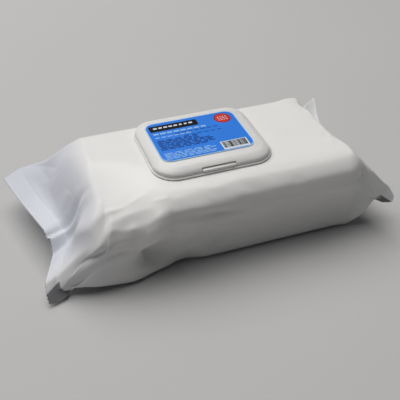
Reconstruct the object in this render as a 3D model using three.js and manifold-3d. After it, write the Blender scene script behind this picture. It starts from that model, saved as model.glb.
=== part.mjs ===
// A wet wipes pack: a flow-wrapped film pouch around a stack of folded wipes, with a rigid
// flip-top lid stuck over the opening in its top. Millimetres, +Z up, +X along the pack,
// -Y towards the lid's thumb notch. The origin is on the face it rests on, under the middle of
// the lid.
import * as THREE from "three";
import { mergeVertices } from "three/addons/utils/BufferGeometryUtils.js";
import Module from "manifold-3d";

const wasm = await Module();
wasm.setup();

// ---------------------------------------------------------------- driving dimensions

const GAP = 0.3; // between pieces that touch
const PAST = 1; // how far a cutter reaches past what it cuts, and a joined piece into its neighbour

const STACK_LEFT = -101; // ends of the straight stretch that holds the stack
const STACK_RIGHT = 107;
const PACK_WIDTH = 103; // across the bulge of its long sides
const PACK_HEIGHT = 74;
const SIDE_BULGE = 1; // how far the long sides swell past the top and bottom edges
const EDGE_RADIUS = 6; // of the long edges
const FILM = 0.8; // wall of the pouch, thicker than the real film
const SLOPE_WALL = 1.6; // draws the hollow in where the film slopes, for a wall of about FILM
const SEAL_THICKNESS = 1.2; // both layers of an end seal
const SEAL_WIDTH = 11; // from the seal's root to its cut edge
const TOP_POUT = 6; // how far the film runs on level past the stack before it slopes away
const UNDER_POUT = 20; // and the same underneath, where it sags

const LID_WIDTH = 98;
const LID_DEPTH = 82;
const LID_RADIUS = 18;
const LID_Y = 6.5; // the lid sits behind the pack's centre line
const LID_WALL = 1.2;
const LID_HEIGHT = 6; // from the lower rim of its skirt to its top panel
const SKIRT_HEIGHT = 2.4; // the upright part of the skirt, below the sloped border
const BORDER = 6; // width of the sloped border round the top panel
const RADIUS_LOSS = 7; // how much tighter the corners get from skirt to panel
const BORDER_ROUND = 0.96; // 1 would round the border right over to level

const FLANGE_LIP = 1; // how far the base's flange shows round the lid
const FLANGE = 1.2;
const MOUTH_WIDTH = 68; // the mouth through the base
const MOUTH_DEPTH = 38;
const RIM_WALL = 1.5;
const RIM_HEIGHT = 3.6;
const BEAD_WALL = 1; // bead under the lid's panel, which closes just inside the rim
const BEAD_ENTRY = 0.8;

const NOTCH_WIDTH = 28; // thumb notch in the front of the lid
const NOTCH_DEPTH = 4;
const NOTCH_HEIGHT = 3.6;
const LEDGE_HEIGHT = 2.6; // thumb ledge on the base, inside the notch
const CATCH_WIDTH = 20; // latch bar on the base, behind the notch
const HINGE_WIDTH = 62; // land along the back of the base, which the lid turns on
const HINGE_HEIGHT = 1.2;

const CUT_WIDTH = 60; // die-cut opening in the film, inside the base's mouth
const CUT_DEPTH = 28;
const STACK_BEVEL = 5; // the ends of the stack are rounded off over this length
const BEVEL_STEPS = [
  [0, 0.7], // share of that length from the end, and share of it drawn in
  [0.3, 0.3],
  [1, 0],
];
const TUFT_WIDTH = 40; // the top wipe's leading fold, pulled up into the opening
const TUFT_DEPTH = 9;
const TUFT_HEIGHT = 1.6;

const LABEL_WIDTH = 78;
const LABEL_DEPTH = 56;
const LABEL_RADIUS = 8;
const LABEL_THICKNESS = 0.3;
const LABEL_X = -2; // stuck on a little off centre
const LABEL_Y = 1;

// The cut edge of each end seal, from the ear at the back to the ear at the front.
const LEFT_SEAL = [
  [-155, 78, 26],
  [-146, 32, 28],
  [-136, -5, 29],
  [-134, -24, 22],
  [-139, -42, 18],
  [-146, -66, 12],
];
const RIGHT_SEAL = [
  [141, 77, 50],
  [139, 52, 46],
  [143, 15, 40],
  [146, -25, 38],
  [143, -69, 38],
];

// Heights that follow from those.
const FLANGE_BOTTOM = PACK_HEIGHT + GAP;
const FLANGE_TOP = FLANGE_BOTTOM + FLANGE;
const LID_BOTTOM = FLANGE_TOP + GAP;
const LID_TOP = LID_BOTTOM + LID_HEIGHT;
const LID_FRONT = LID_Y - LID_DEPTH / 2;
const LID_BACK = LID_Y + LID_DEPTH / 2;
const INSIDE = FILM + GAP; // from the film's outer face to the wipes

// Fineness of the meshes.
const HALF_RING = 20; // steps over the top of the pouch from ear to ear, and as many below
const SLOPE_RINGS = 6;
const SLOPE_HOLLOW = 0.6; // the hollow runs this share of the way down to a seal
const BODY_RINGS = 2;
const ARC_STEPS = 6;
const BORDER_RINGS = 4;
const MERGE = 1e-4; // points closer than this are one point

// ---------------------------------------------------------------- solids and meshes

// Turns a closed three.js geometry into a manifold-3d solid.
function solidOf(geometry) {
  const bare = geometry.clone();
  bare.deleteAttribute("normal");
  bare.deleteAttribute("uv");
  const merged = mergeVertices(bare, MERGE);
  return new wasm.Manifold(
    new wasm.Mesh({
      numProp: 3,
      vertProperties: merged.attributes.position.array,
      triVerts: new Uint32Array(merged.index.array),
    }),
  );
}

// And back, for a THREE.Mesh.
function geometryOf(solid) {
  const mesh = solid.getMesh();
  return new THREE.BufferGeometry()
    .setAttribute("position", new THREE.BufferAttribute(mesh.vertProperties, 3))
    .setIndex(new THREE.BufferAttribute(mesh.triVerts, 1));
}

// A rounded rectangle centred on (x, y).
function roundedRectangle(width, depth, radius, x = 0, y = 0) {
  const shape = new THREE.Shape();
  const corners = [
    [x + width / 2 - radius, y + depth / 2 - radius, 0],
    [x - width / 2 + radius, y + depth / 2 - radius, Math.PI / 2],
    [x - width / 2 + radius, y - depth / 2 + radius, Math.PI],
    [x + width / 2 - radius, y - depth / 2 + radius, Math.PI * 1.5],
  ];
  for (const [cx, cy, start] of corners) {
    shape.absarc(cx, cy, radius, start, start + Math.PI / 2, false);
  }
  return shape;
}

// A flat plate of that outline between two heights.
function plate(shape, low, high) {
  const geometry = new THREE.ExtrudeGeometry(shape, {
    depth: high - low,
    bevelEnabled: false,
    curveSegments: ARC_STEPS,
  });
  return solidOf(geometry.translate(0, 0, low));
}

function block(x0, x1, y0, y1, z0, z1) {
  const geometry = new THREE.BoxGeometry(x1 - x0, y1 - y0, z1 - z0);
  return solidOf(geometry.translate((x0 + x1) / 2, (y0 + y1) / 2, (z0 + z1) / 2));
}

// A closed skin over rings of equal length. Each end is closed by joining the ring's first
// half to its second half, point by point, so that an end may be bent.
function loft(rings) {
  const count = rings[0].length;
  const faces = [];
  for (let r = 0; r + 1 < rings.length; r++) {
    for (let i = 0; i < count; i++) {
      const a = r * count + i;
      const b = r * count + ((i + 1) % count);
      faces.push([a, b, b + count], [a, b + count, a + count]);
    }
  }
  const last = (rings.length - 1) * count;
  for (let i = 0; i < count / 2; i++) {
    const near = [i, i + 1];
    const far = [(count - i) % count, count - i - 1];
    const cap = [];
    if (near[0] !== far[0]) cap.push([near[0], near[1], far[0]]);
    if (near[1] !== far[1]) cap.push([near[1], far[1], far[0]]);
    for (const [a, b, c] of cap) {
      faces.push([a, c, b]);
      faces.push([last + a, last + b, last + c]);
    }
  }
  const geometry = new THREE.BufferGeometry().setFromPoints(rings.flat());
  geometry.setIndex(faces.flat());
  const solid = solidOf(geometry);
  if (solid.volume() > 0) return solid;
  geometry.setIndex(faces.map(([a, b, c]) => [a, c, b]).flat());
  return solidOf(geometry);
}

// ---------------------------------------------------------------- pouch and wipes

// The upper half of the pouch's cross-section from the back ear to the front ear, as (y, z):
// up the swollen side, round the long edge, over the flat top, and down the other side.
function halfSection(inset) {
  const side = PACK_WIDTH / 2 - inset;
  const middle = PACK_HEIGHT / 2;
  const top = PACK_HEIGHT - inset;
  const radius = EDGE_RADIUS - inset;
  const edge = side - SIDE_BULGE;
  const shoulder = top - radius;
  const swell = (middle + shoulder) / 2;
  const path = new THREE.Path();
  path.moveTo(side, middle);
  path.quadraticCurveTo(side, swell, edge, shoulder);
  path.absarc(edge - radius, shoulder, radius, 0, Math.PI / 2, false);
  path.lineTo(radius - edge, top);
  path.absarc(radius - edge, shoulder, radius, Math.PI / 2, Math.PI, false);
  path.quadraticCurveTo(-side, swell, -side, middle);
  return path.getSpacedPoints(HALF_RING);
}

// A whole ring at x: the upper half, then its mirror image below.
function bodyRing(x, inset) {
  const upper = halfSection(inset).map((p) => new THREE.Vector3(x, p.x, p.y));
  const lower = upper.slice(1, -1).reverse();
  return [...upper, ...lower.map((p) => new THREE.Vector3(x, p.y, PACK_HEIGHT - p.z))];
}

// The ring along a seal: one layer out over the line, and the other back under it.
function sealRing(edge, run) {
  const line = new THREE.CatmullRomCurve3(edge.map((p) => new THREE.Vector3(...p)));
  const outward = Math.sign(edge[0][0]);
  const points = line.getSpacedPoints(HALF_RING).map((p) => p.setX(p.x - outward * run));
  const half = SEAL_THICKNESS / 2;
  const upper = points.map((p, i) => {
    const lift = i === 0 || i === HALF_RING ? 0 : half;
    return new THREE.Vector3(p.x, p.y, p.z + lift);
  });
  const lower = points.slice(1, -1).reverse();
  return [...upper, ...lower.map((p) => new THREE.Vector3(p.x, p.y, p.z - half))];
}

// Rings from the end of the stack towards a seal's root. The film leaves the stack level.
function slopeRings(edge, share) {
  const outward = Math.sign(edge[0][0]);
  const start = bodyRing(outward < 0 ? STACK_LEFT : STACK_RIGHT, 0);
  const end = sealRing(edge, SEAL_WIDTH);
  const rings = [];
  for (let k = 1; k <= SLOPE_RINGS; k++) {
    const s = (share * k) / SLOPE_RINGS;
    rings.push(
      start.map((p, i) => {
        const pout = UNDER_POUT + (TOP_POUT - UNDER_POUT) * (p.z / PACK_HEIGHT);
        const bend = p.clone().setX(p.x + outward * pout);
        return p
          .clone()
          .multiplyScalar((1 - s) ** 2)
          .addScaledVector(bend, 2 * s * (1 - s))
          .addScaledVector(end[i], s * s);
      }),
    );
  }
  return rings;
}

// A ring with every point drawn in towards the ring's centre by about the film's thickness.
function drawnIn(ring) {
  const centre = ring.reduce((sum, p) => sum.add(p), new THREE.Vector3()).divideScalar(ring.length);
  return ring.map((p) => {
    const inward = new THREE.Vector3(0, centre.y - p.y, centre.z - p.z);
    return p.clone().addScaledVector(inward.normalize(), SLOPE_WALL);
  });
}

// Rings along the straight stretch that holds the stack.
function bodyRings(inset) {
  const rings = [];
  for (let k = 0; k <= BODY_RINGS; k++) {
    const share = k / BODY_RINGS;
    rings.push(bodyRing(STACK_LEFT + (STACK_RIGHT - STACK_LEFT) * share, inset));
  }
  return rings;
}

// The film: one folded and sealed sheet, hollow inside, with a die-cut opening in its top.
function filmWrapper() {
  const outside = loft([
    sealRing(LEFT_SEAL, 0),
    ...slopeRings(LEFT_SEAL, 1).reverse(),
    ...bodyRings(0),
    ...slopeRings(RIGHT_SEAL, 1),
    sealRing(RIGHT_SEAL, 0),
  ]);
  const hollow = loft([
    ...slopeRings(LEFT_SEAL, SLOPE_HOLLOW).map(drawnIn).reverse(),
    ...bodyRings(FILM),
    ...slopeRings(RIGHT_SEAL, SLOPE_HOLLOW).map(drawnIn),
  ]);
  const opening = roundedRectangle(CUT_WIDTH, CUT_DEPTH, CUT_DEPTH / 2, 0, LID_Y);
  return outside
    .subtract(hollow)
    .subtract(plate(opening, PACK_HEIGHT - FILM - PAST, PACK_HEIGHT + PAST));
}

// The rounded end of the stack, as rings from its end face inwards.
function stackEnd(x, inward) {
  return BEVEL_STEPS.map(([along, drawn]) =>
    bodyRing(x + inward * STACK_BEVEL * along, INSIDE + STACK_BEVEL * drawn),
  );
}

// The folded wipes are one block, with the leading fold of the top one pulled up.
function wipeStack() {
  const left = stackEnd(STACK_LEFT + INSIDE, 1);
  const right = stackEnd(STACK_RIGHT - INSIDE, -1).reverse();
  const tuft = roundedRectangle(TUFT_WIDTH, TUFT_DEPTH, TUFT_DEPTH / 2, 0, LID_Y);
  const top = PACK_HEIGHT - INSIDE;
  return loft([...left, ...right]).add(plate(tuft, top - PAST, top + TUFT_HEIGHT));
}

// ---------------------------------------------------------------- lid

// The lid's outline at a height: upright skirt, then a border that rounds over to the panel.
function lidRing(height, inset) {
  const rise = Math.max(0, (height - SKIRT_HEIGHT) / (LID_HEIGHT - SKIRT_HEIGHT));
  const taken = inset + BORDER * (1 - Math.sqrt(1 - BORDER_ROUND * rise * rise));
  const radius = LID_RADIUS - inset - RADIUS_LOSS * rise;
  const width = LID_WIDTH - 2 * taken;
  const shape = roundedRectangle(width, LID_DEPTH - 2 * taken, radius, 0, LID_Y);
  const outline = shape.extractPoints(ARC_STEPS).shape;
  if (outline[0].distanceTo(outline.at(-1)) < MERGE) outline.pop();
  return outline.map((p) => new THREE.Vector3(p.x, p.y, LID_BOTTOM + height));
}

// The space the thumb notch takes out of the lid, widened by `wall` for its inner face.
function notchBlock(wall) {
  const half = NOTCH_WIDTH / 2 + wall;
  return block(
    -half,
    half,
    LID_FRONT - PAST,
    LID_FRONT + NOTCH_DEPTH + wall,
    LID_BOTTOM - PAST,
    LID_BOTTOM + NOTCH_HEIGHT + wall,
  );
}

// An upright wall that follows a stadium outline.
function ringWall(width, depth, wall, low, high) {
  const outside = roundedRectangle(width, depth, depth / 2, 0, LID_Y);
  const hole = roundedRectangle(width - 2 * wall, depth - 2 * wall, depth / 2 - wall, 0, LID_Y);
  return plate(outside, low, high).subtract(plate(hole, low - PAST, high + PAST));
}

// The moving half of the moulding: a shell with a notch, and a sealing bead under its panel.
function flipLid() {
  const heights = [];
  for (let k = 0; k <= BORDER_RINGS; k++) {
    heights.push(SKIRT_HEIGHT + ((LID_HEIGHT - SKIRT_HEIGHT) * k) / BORDER_RINGS);
  }
  const outer = loft([0, ...heights].map((h) => lidRing(h, 0)));
  const hollow = [-PAST, ...heights.map((h) => h - LID_WALL)];
  const inner = loft(hollow.map((h) => lidRing(h, LID_WALL)));
  const shell = outer.subtract(notchBlock(0)).subtract(inner.subtract(notchBlock(LID_WALL)));
  const bead = ringWall(
    MOUTH_WIDTH - 2 * GAP,
    MOUTH_DEPTH - 2 * GAP,
    BEAD_WALL,
    FLANGE_TOP + RIM_HEIGHT - BEAD_ENTRY,
    LID_TOP - LID_WALL / 2,
  );
  return shell.add(bead);
}

// The half that is stuck to the film: flange, rim round the mouth, thumb ledge, latch bar and
// hinge land.
function lidBase() {
  const flange = roundedRectangle(
    LID_WIDTH + 2 * FLANGE_LIP,
    LID_DEPTH + 2 * FLANGE_LIP,
    LID_RADIUS + FLANGE_LIP,
    0,
    LID_Y,
  );
  const mouth = roundedRectangle(MOUTH_WIDTH, MOUTH_DEPTH, MOUTH_DEPTH / 2, 0, LID_Y);
  const root = FLANGE_TOP - FLANGE / 2;
  const rim = ringWall(
    MOUTH_WIDTH + 2 * RIM_WALL,
    MOUTH_DEPTH + 2 * RIM_WALL,
    RIM_WALL,
    root,
    FLANGE_TOP + RIM_HEIGHT,
  );
  const ledge = block(
    GAP - NOTCH_WIDTH / 2,
    NOTCH_WIDTH / 2 - GAP,
    LID_FRONT,
    LID_FRONT + NOTCH_DEPTH - GAP,
    root,
    FLANGE_TOP + LEDGE_HEIGHT,
  );
  const barFront = LID_FRONT + NOTCH_DEPTH + LID_WALL + GAP;
  const bar = block(
    -CATCH_WIDTH / 2,
    CATCH_WIDTH / 2,
    barFront,
    barFront + RIM_WALL,
    root,
    FLANGE_TOP + RIM_HEIGHT / 2,
  );
  const land = block(
    -HINGE_WIDTH / 2,
    HINGE_WIDTH / 2,
    LID_BACK + GAP,
    LID_BACK + FLANGE_LIP,
    root,
    FLANGE_TOP + HINGE_HEIGHT,
  );
  return plate(flange, FLANGE_BOTTOM, FLANGE_TOP)
    .subtract(plate(mouth, FLANGE_BOTTOM - PAST, FLANGE_TOP + PAST))
    .add(rim)
    .add(ledge)
    .add(bar)
    .add(land);
}

// The printed label on the lid's panel.
function lidLabel() {
  const outline = roundedRectangle(LABEL_WIDTH, LABEL_DEPTH, LABEL_RADIUS, LABEL_X, LID_Y + LABEL_Y);
  return plate(outline, LID_TOP + GAP, LID_TOP + GAP + LABEL_THICKNESS);
}

// ---------------------------------------------------------------- the assembly

const FINISHES = {
  film_wrapper: { color: 0xdcdce0, roughness: 0.28, metalness: 0 },
  wipe_stack: { color: 0xf4f4f1, roughness: 0.9, metalness: 0 },
  lid_base: { color: 0xe2e2df, roughness: 0.42, metalness: 0 },
  flip_lid: { color: 0xe4e4e0, roughness: 0.4, metalness: 0 },
  lid_label: { color: 0x3c86e6, roughness: 0.35, metalness: 0 },
};

function piece(name, solid) {
  const mesh = new THREE.Mesh(geometryOf(solid), new THREE.MeshStandardMaterial(FINISHES[name]));
  mesh.name = name;
  return mesh;
}

const pouch = new THREE.Group();
pouch.add(piece("film_wrapper", filmWrapper()));
pouch.add(piece("wipe_stack", wipeStack()));
pouch.add(piece("lid_base", lidBase()));

const lid = new THREE.Group();
lid.add(piece("flip_lid", flipLid()));
lid.add(piece("lid_label", lidLabel()));

const pack = new THREE.Group();
pack.add(pouch, lid);

export default pack;
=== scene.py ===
# %% [markdown]
# # A wet wipes pack
#
# This lesson builds the looks of a flow-wrapped pack of wet wipes round a fixed model of it.
# The real pack is one sheet of glossy white film, folded into a tube round a block of wipes and
# crimped shut at both ends. A moulded flip-top lid is stuck over a hole in its top, and a
# printed label is stuck on the lid. The fixed model gives every size and place, so each piece
# here starts from a box that it reports.

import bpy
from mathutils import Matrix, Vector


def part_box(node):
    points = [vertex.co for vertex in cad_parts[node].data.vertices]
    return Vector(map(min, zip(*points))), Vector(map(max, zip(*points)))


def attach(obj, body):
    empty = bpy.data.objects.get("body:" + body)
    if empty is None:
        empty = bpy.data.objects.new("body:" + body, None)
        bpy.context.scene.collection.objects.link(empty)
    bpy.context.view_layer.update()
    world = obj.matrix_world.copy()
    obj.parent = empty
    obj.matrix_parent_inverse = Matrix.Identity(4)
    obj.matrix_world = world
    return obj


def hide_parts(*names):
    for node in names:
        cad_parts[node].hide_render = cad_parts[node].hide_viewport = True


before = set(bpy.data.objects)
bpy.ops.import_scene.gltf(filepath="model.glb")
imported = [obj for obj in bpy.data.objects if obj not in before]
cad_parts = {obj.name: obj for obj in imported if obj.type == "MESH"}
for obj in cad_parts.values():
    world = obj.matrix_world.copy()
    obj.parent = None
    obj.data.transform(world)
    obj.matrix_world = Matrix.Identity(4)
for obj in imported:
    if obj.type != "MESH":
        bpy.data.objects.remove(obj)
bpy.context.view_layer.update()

# %% Tools and units
import math

import bmesh
import bpy
import numpy as np
from mathutils import Matrix, Vector

MM = 0.001
SCENE = bpy.context.scene

film_low, film_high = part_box("film_wrapper")
stack_low, stack_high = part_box("wipe_stack")
base_low, base_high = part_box("lid_base")
lid_low, lid_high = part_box("flip_lid")
label_low, label_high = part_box("lid_label")
LID_X = (base_low.x + base_high.x) / 2
LID_Y = (base_low.y + base_high.y) / 2
print("pack is", [round(v / MM) for v in film_high - film_low], "mm over its seals")

# %% [markdown]
# ## Making meshes from rings
#
# Most of this pack is a skin over a row of closed outlines: the film from one seal to the other,
# and the lid from its lower rim to its panel. Blender could loft these from curves, but then the
# points fall where the curves put them. One helper that joins rings of equal length keeps the
# points in step, so that a crease or a tooth can be put exactly where it belongs.

# %% Mesh helpers
WELD_DISTANCE = 1e-7  # metres
SHARP_FROM = 40  # degrees between faces, from where an edge is shaded as sharp


def mesh_piece(name, points, faces, smooth=True):
    """A mesh object from points in metres and lists of point numbers."""
    mesh = bpy.data.meshes.new(name)
    mesh.from_pydata([tuple(p) for p in points], [], [list(f) for f in faces])
    mesh.update()
    mesh.polygons.foreach_set("use_smooth", [smooth] * len(mesh.polygons))
    piece = bpy.data.objects.new(name, mesh)
    SCENE.collection.objects.link(piece)
    return piece


def ring_faces(rows, count):
    """Quads between neighbouring rings of `count` points."""
    faces = []
    for r in range(rows - 1):
        for i in range(count):
            a, b = r * count + i, r * count + (i + 1) % count
            faces.append((a, b, b + count, a + count))
    return faces


def turn_outwards(piece):
    """Makes every face of a closed piece point out."""
    work = bmesh.new()
    work.from_mesh(piece.data)
    bmesh.ops.remove_doubles(work, verts=work.verts, dist=WELD_DISTANCE)
    bmesh.ops.recalc_face_normals(work, faces=work.faces)
    work.to_mesh(piece.data)
    work.free()
    return piece


def loft(name, rings):
    """A closed piece over rings of equal length, with a flat cap at each end."""
    count = len(rings[0])
    faces = ring_faces(len(rings), count)
    last = (len(rings) - 1) * count
    faces.append(range(count))
    faces.append(range(last, last + count))
    return turn_outwards(mesh_piece(name, [p for ring in rings for p in ring], faces))


def rounded_outline(width, depth, radius, height, centre=(LID_X, LID_Y), steps=16):
    """The points of a rounded rectangle at a height."""
    points = []
    for quarter in range(4):
        side_x = 1 if quarter in (0, 3) else -1
        side_y = 1 if quarter in (0, 1) else -1
        for k in range(steps + 1):
            turn = math.pi / 2 * (quarter + k / steps)
            x = centre[0] + side_x * (width / 2 - radius) + radius * math.cos(turn)
            y = centre[1] + side_y * (depth / 2 - radius) + radius * math.sin(turn)
            points.append((x, y, height))
    return points


def apply_modifiers(piece):
    """Turns a piece with its modifiers into a plain mesh."""
    shaped = piece.evaluated_get(bpy.context.evaluated_depsgraph_get())
    mesh = bpy.data.meshes.new_from_object(shaped)
    piece.modifiers.clear()
    piece.data = mesh


def cut_away(piece, cutter):
    """Cuts one closed piece out of another. The cutter is used up."""
    step = piece.modifiers.new("cut", "BOOLEAN")
    step.operation = "DIFFERENCE"
    step.object = cutter
    step.solver = "EXACT"
    apply_modifiers(piece)
    bpy.data.objects.remove(cutter)


def soften_edges(piece, width, segments=2, angle=35):
    """Rounds the sharp edges of a moulded piece, and shades the rest smooth."""
    step = piece.modifiers.new("soft edges", "BEVEL")
    step.width = width
    step.segments = segments
    step.limit_method = "ANGLE"
    step.angle_limit = math.radians(angle)
    step.use_clamp_overlap = True
    apply_modifiers(piece)
    piece.data.polygons.foreach_set("use_smooth", [True] * len(piece.data.polygons))
    piece.data.set_sharp_from_angle(angle=math.radians(SHARP_FROM))


print("helpers ready")

# %% [markdown]
# ## Camera
#
# The camera stands to the left of the pack's middle, a little over half a metre away, and looks
# down on it. It comes first, so that everything after it can be judged through it.

# %% Camera
CAMERA_AZIMUTH = math.radians(-20.5)
CAMERA_ELEVATION = math.radians(38.4)
CAMERA_ROLL = math.radians(0.7)
CAMERA_DISTANCE = 0.509
CAMERA_TARGET = Vector((-0.0299, -0.0617, 0.0743))
CAMERA_LENS, CAMERA_SENSOR = 62.57, 36  # millimetres
CAMERA_SHIFT = 0.011


def place_camera():
    """Aims a camera from its azimuth, elevation and distance."""
    back = Vector((
        math.sin(CAMERA_AZIMUTH) * math.cos(CAMERA_ELEVATION),
        -math.cos(CAMERA_AZIMUTH) * math.cos(CAMERA_ELEVATION),
        math.sin(CAMERA_ELEVATION),
    ))
    right = (-back).cross(Vector((0, 0, 1))).normalized()
    up = right.cross(-back)
    cos_roll, sin_roll = math.cos(CAMERA_ROLL), math.sin(CAMERA_ROLL)
    side = cos_roll * right + sin_roll * up
    top = cos_roll * up - sin_roll * right
    data = bpy.data.cameras.new("camera")
    data.sensor_width = CAMERA_SENSOR
    data.lens = CAMERA_LENS
    data.shift_x = CAMERA_SHIFT
    data.clip_start = 0.01
    camera = bpy.data.objects.new("camera", data)
    turned = Matrix((side, top, back)).transposed().to_4x4()
    camera.matrix_world = Matrix.Translation(CAMERA_TARGET + back * CAMERA_DISTANCE) @ turned
    SCENE.collection.objects.link(camera)
    SCENE.camera = camera
    return camera


print("camera at", [round(v, 3) for v in place_camera().location])

# %% [markdown]
# ## The film's shape
#
# The wrapper is one sheet that runs round the wipes and is pinched flat at both ends. Such a
# tube has a simple rule: every cross-section is a ring of the same number of points, which goes
# from the back ear over the top to the front ear, and back underneath. Over the wipes the ring
# is a rounded rectangle. At a seal it is a flat pair of layers that follow the seal's line.
# Between them the film leaves the block level, turns over its edge and slopes away, and the
# corners of the rectangle fade out as ridges towards the ears, as on a gusset.
#
# The seals aren't straight. The left one hangs lower, and its middle is pushed in towards the
# wipes, where the film buckles.

# %% Seal lines
# Where the cut edge of each crimped band passes, and where its root does, in millimetres, from
# the back ear to the front ear. The lists keep step, so that the band can twist. The last
# number of each row is the share of the film from ear to ear that has been used up there: near
# an ear, where the end of the band is folded under, much film goes into a short stretch.
LEFT_SEAL = [
    # cut edge         root             share
    ((-150, 72, 22), (-139, 70, 25), 0.00),
    ((-156, 78, 27), (-142, 80, 33), 0.12),
    ((-147, 36, 29), (-134, 39, 33), 0.36),
    ((-136, -4, 29), (-124, 0, 31), 0.55),
    ((-135, -10, 25), (-121, -8, 27), 0.575),
    ((-133, -16, 29), (-122, -14, 31), 0.60),
    ((-134, -25, 20), (-122, -22, 25), 0.65),
    ((-140, -38, 17), (-128, -36, 21), 0.71),
    ((-145, -49, 14), (-136, -46, 16), 0.77),
    ((-145, -60, 4), (-137, -53, 8), 0.84),
    ((-131, -56, 3), (-129, -53, 4), 1.00),
]
RIGHT_SEAL = [
    ((143, 78, 51), (129, 69, 50), 0.00),
    ((136, 55, 43), (126, 52, 41), 0.14),
    ((134, 36, 37), (124, 35, 37), 0.27),
    ((132, 9, 33), (122, 9, 34), 0.43),
    ((136, -14, 32), (126, -13, 37), 0.56),
    ((142, -40, 31), (136, -38, 39), 0.70),
    ((148, -60, 33), (144, -57, 40), 0.80),
    ((146, -62, 27), (140, -58, 31), 0.90),
    ((140, -57, 24), (135, -56, 27), 1.00),
]

HALF_RING = 150  # steps from ear to ear over the top, and as many underneath
SEAL_ROWS, SLOPE_ROWS, BODY_ROWS = 12, 48, 124  # steps along each stretch of the film
SEAL_HALF = 0.14 * MM  # half of the thickness of a crimped band
TOOTH = 1.1 * MM
KINK = 0.55  # 0 for a smooth seal line, 1 for one of straight stretches


def curve_at(points, at):
    """Points on a somewhat kinked curve through a few given ones, at positions counted in them."""
    p = np.array(points, float) * MM
    p = np.vstack([2 * p[0] - p[1], p, 2 * p[-1] - p[-2]])
    k = np.minimum(at.astype(int), len(points) - 2)
    u = (at - k)[:, None]
    a, b, c, d = p[k], p[k + 1], p[k + 2], p[k + 3]
    smooth = 0.5 * (
        2 * b + (c - a) * u + (2 * a - 5 * b + 4 * c - d) * u**2 + (3 * b - a - 3 * c + d) * u**3
    )
    straight = b + (c - b) * u
    return straight + (smooth - straight) * (1 - KINK)


def seal_band(seal):
    """Matching points along the root and the cut edge of a seal."""
    cut, root, shares = zip(*seal)
    at = np.interp(np.linspace(0, 1, HALF_RING + 1), shares, np.arange(len(seal)))
    return curve_at(root, at), curve_at(cut, at)


left_root, left_cut = seal_band(LEFT_SEAL)
right_root, right_cut = seal_band(RIGHT_SEAL)
print("seals run from", left_cut[0].round(3), "and", right_cut[0].round(3))

# %% Rings over the wipes
HALF_WIDTH = 51.5 * MM
HEIGHT = film_high.z
TURN_LEFT = stack_low.x + 9 * MM  # where the film starts to leave the block
TURN_RIGHT = stack_high.x
BACK_RADIUS = 4 * MM
UNDER_RADIUS = 6 * MM
SIDE_SWELL = 1.2 * MM
SIDE_STEPS, ARC_STEPS = 16, 18
# How far in and down the top front edge is rounded, in millimetres. The left end is left nearly
# square here, because the slack that it has is added later.
EDGE_AT_RIGHT, EDGE_AT_LEFT = (7, 15), (3, 4.5)
EDGE_CHANGE = (20 * MM, -60 * MM)  # the stretch along the pack where one turns into the other


def rise(start, end, value):
    """0 before `start` and 1 after `end`, with a smooth rise between. Either may be larger."""
    t = np.clip((value - start) / (end - start), 0, 1)
    return t * t * (3 - 2 * t)


def arc(centre, radii, start, end):
    """Points of an elliptical arc in a cross-section, between two angles in degrees."""
    turn = np.radians(np.linspace(start, end, ARC_STEPS))
    return [(centre[0] + radii[0] * math.cos(t), centre[1] + radii[1] * math.sin(t)) for t in turn]


def half_side(edge, foot, shoulder, sign, upper):
    """Half of a slightly swollen side wall, from its middle height up or down."""
    middle = HEIGHT / 2
    level = np.linspace(middle, shoulder if upper else foot, SIDE_STEPS)
    swell = SIDE_SWELL * np.sin(math.pi * (level - foot) / (shoulder - foot))
    return [(sign * (edge + s), z) for s, z in zip(swell, level)]


def resampled(path, count):
    """`count` + 1 points at equal distances along a path."""
    steps = np.linalg.norm(np.diff(path, axis=0), axis=1)
    run = np.concatenate([[0], np.cumsum(steps)])
    at = np.linspace(0, run[-1], count + 1)
    return np.stack([np.interp(at, run, path[:, k]) for k in range(path.shape[1])], axis=1)


def body_ring(x):
    """The ring of film round the block at x."""
    edge = HALF_WIDTH - SIDE_SWELL
    br, ur = BACK_RADIUS, UNDER_RADIUS
    left = float(rise(*EDGE_CHANGE, x))
    reach, drop = ((r - (r - l) * left) * MM for r, l in zip(EDGE_AT_RIGHT, EDGE_AT_LEFT))
    upper = (
        half_side(edge, ur, HEIGHT - br, 1, True)
        + arc((edge - br, HEIGHT - br), (br, br), 0, 90)
        + arc((reach - edge, HEIGHT - drop), (reach, drop), 90, 180)
        + half_side(edge, ur, HEIGHT - drop, -1, True)[::-1]
    )
    lower = (
        half_side(edge, ur, HEIGHT - br, 1, False)
        + arc((edge - ur, ur), (ur, ur), 0, -90)
        + arc((ur - edge, ur), (ur, ur), -90, -180)
        + half_side(edge, ur, HEIGHT - drop, -1, False)[::-1]
    )
    over = resampled(np.array(upper), HALF_RING)
    under = resampled(np.array(lower), HALF_RING)[1:-1][::-1]
    section = np.vstack([over, under])
    return np.column_stack([np.full(len(section), x), section])


def seal_ring(path):
    """The two layers of film along a seal line."""
    lift = np.full(len(path), SEAL_HALF)
    lift[0] = lift[-1] = 0
    over = path + np.outer(lift, (0, 0, 1))
    under = path[1:-1][::-1] - np.outer(lift[1:-1], (0, 0, 1))
    return np.vstack([over, under])


print("ring over the wipes:", len(body_ring(0)), "points")

# %% Slopes and seals
# For each end: how far the film runs on level, over the top and underneath; how far before the
# seal it has already levelled out; and how hard the gussets at its corners are pulled straight.
LEFT_END = ((18 * MM, 38 * MM), 14 * MM, 0.5)
RIGHT_END = ((7 * MM, 24 * MM), 7 * MM, 1.0)
LAST_SLOPE = 0.25  # how steeply the film comes down to the root of a seal
GUSSET = (34, 50)  # steps from an ear: the film is flat within the first, and free past the second


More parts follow.
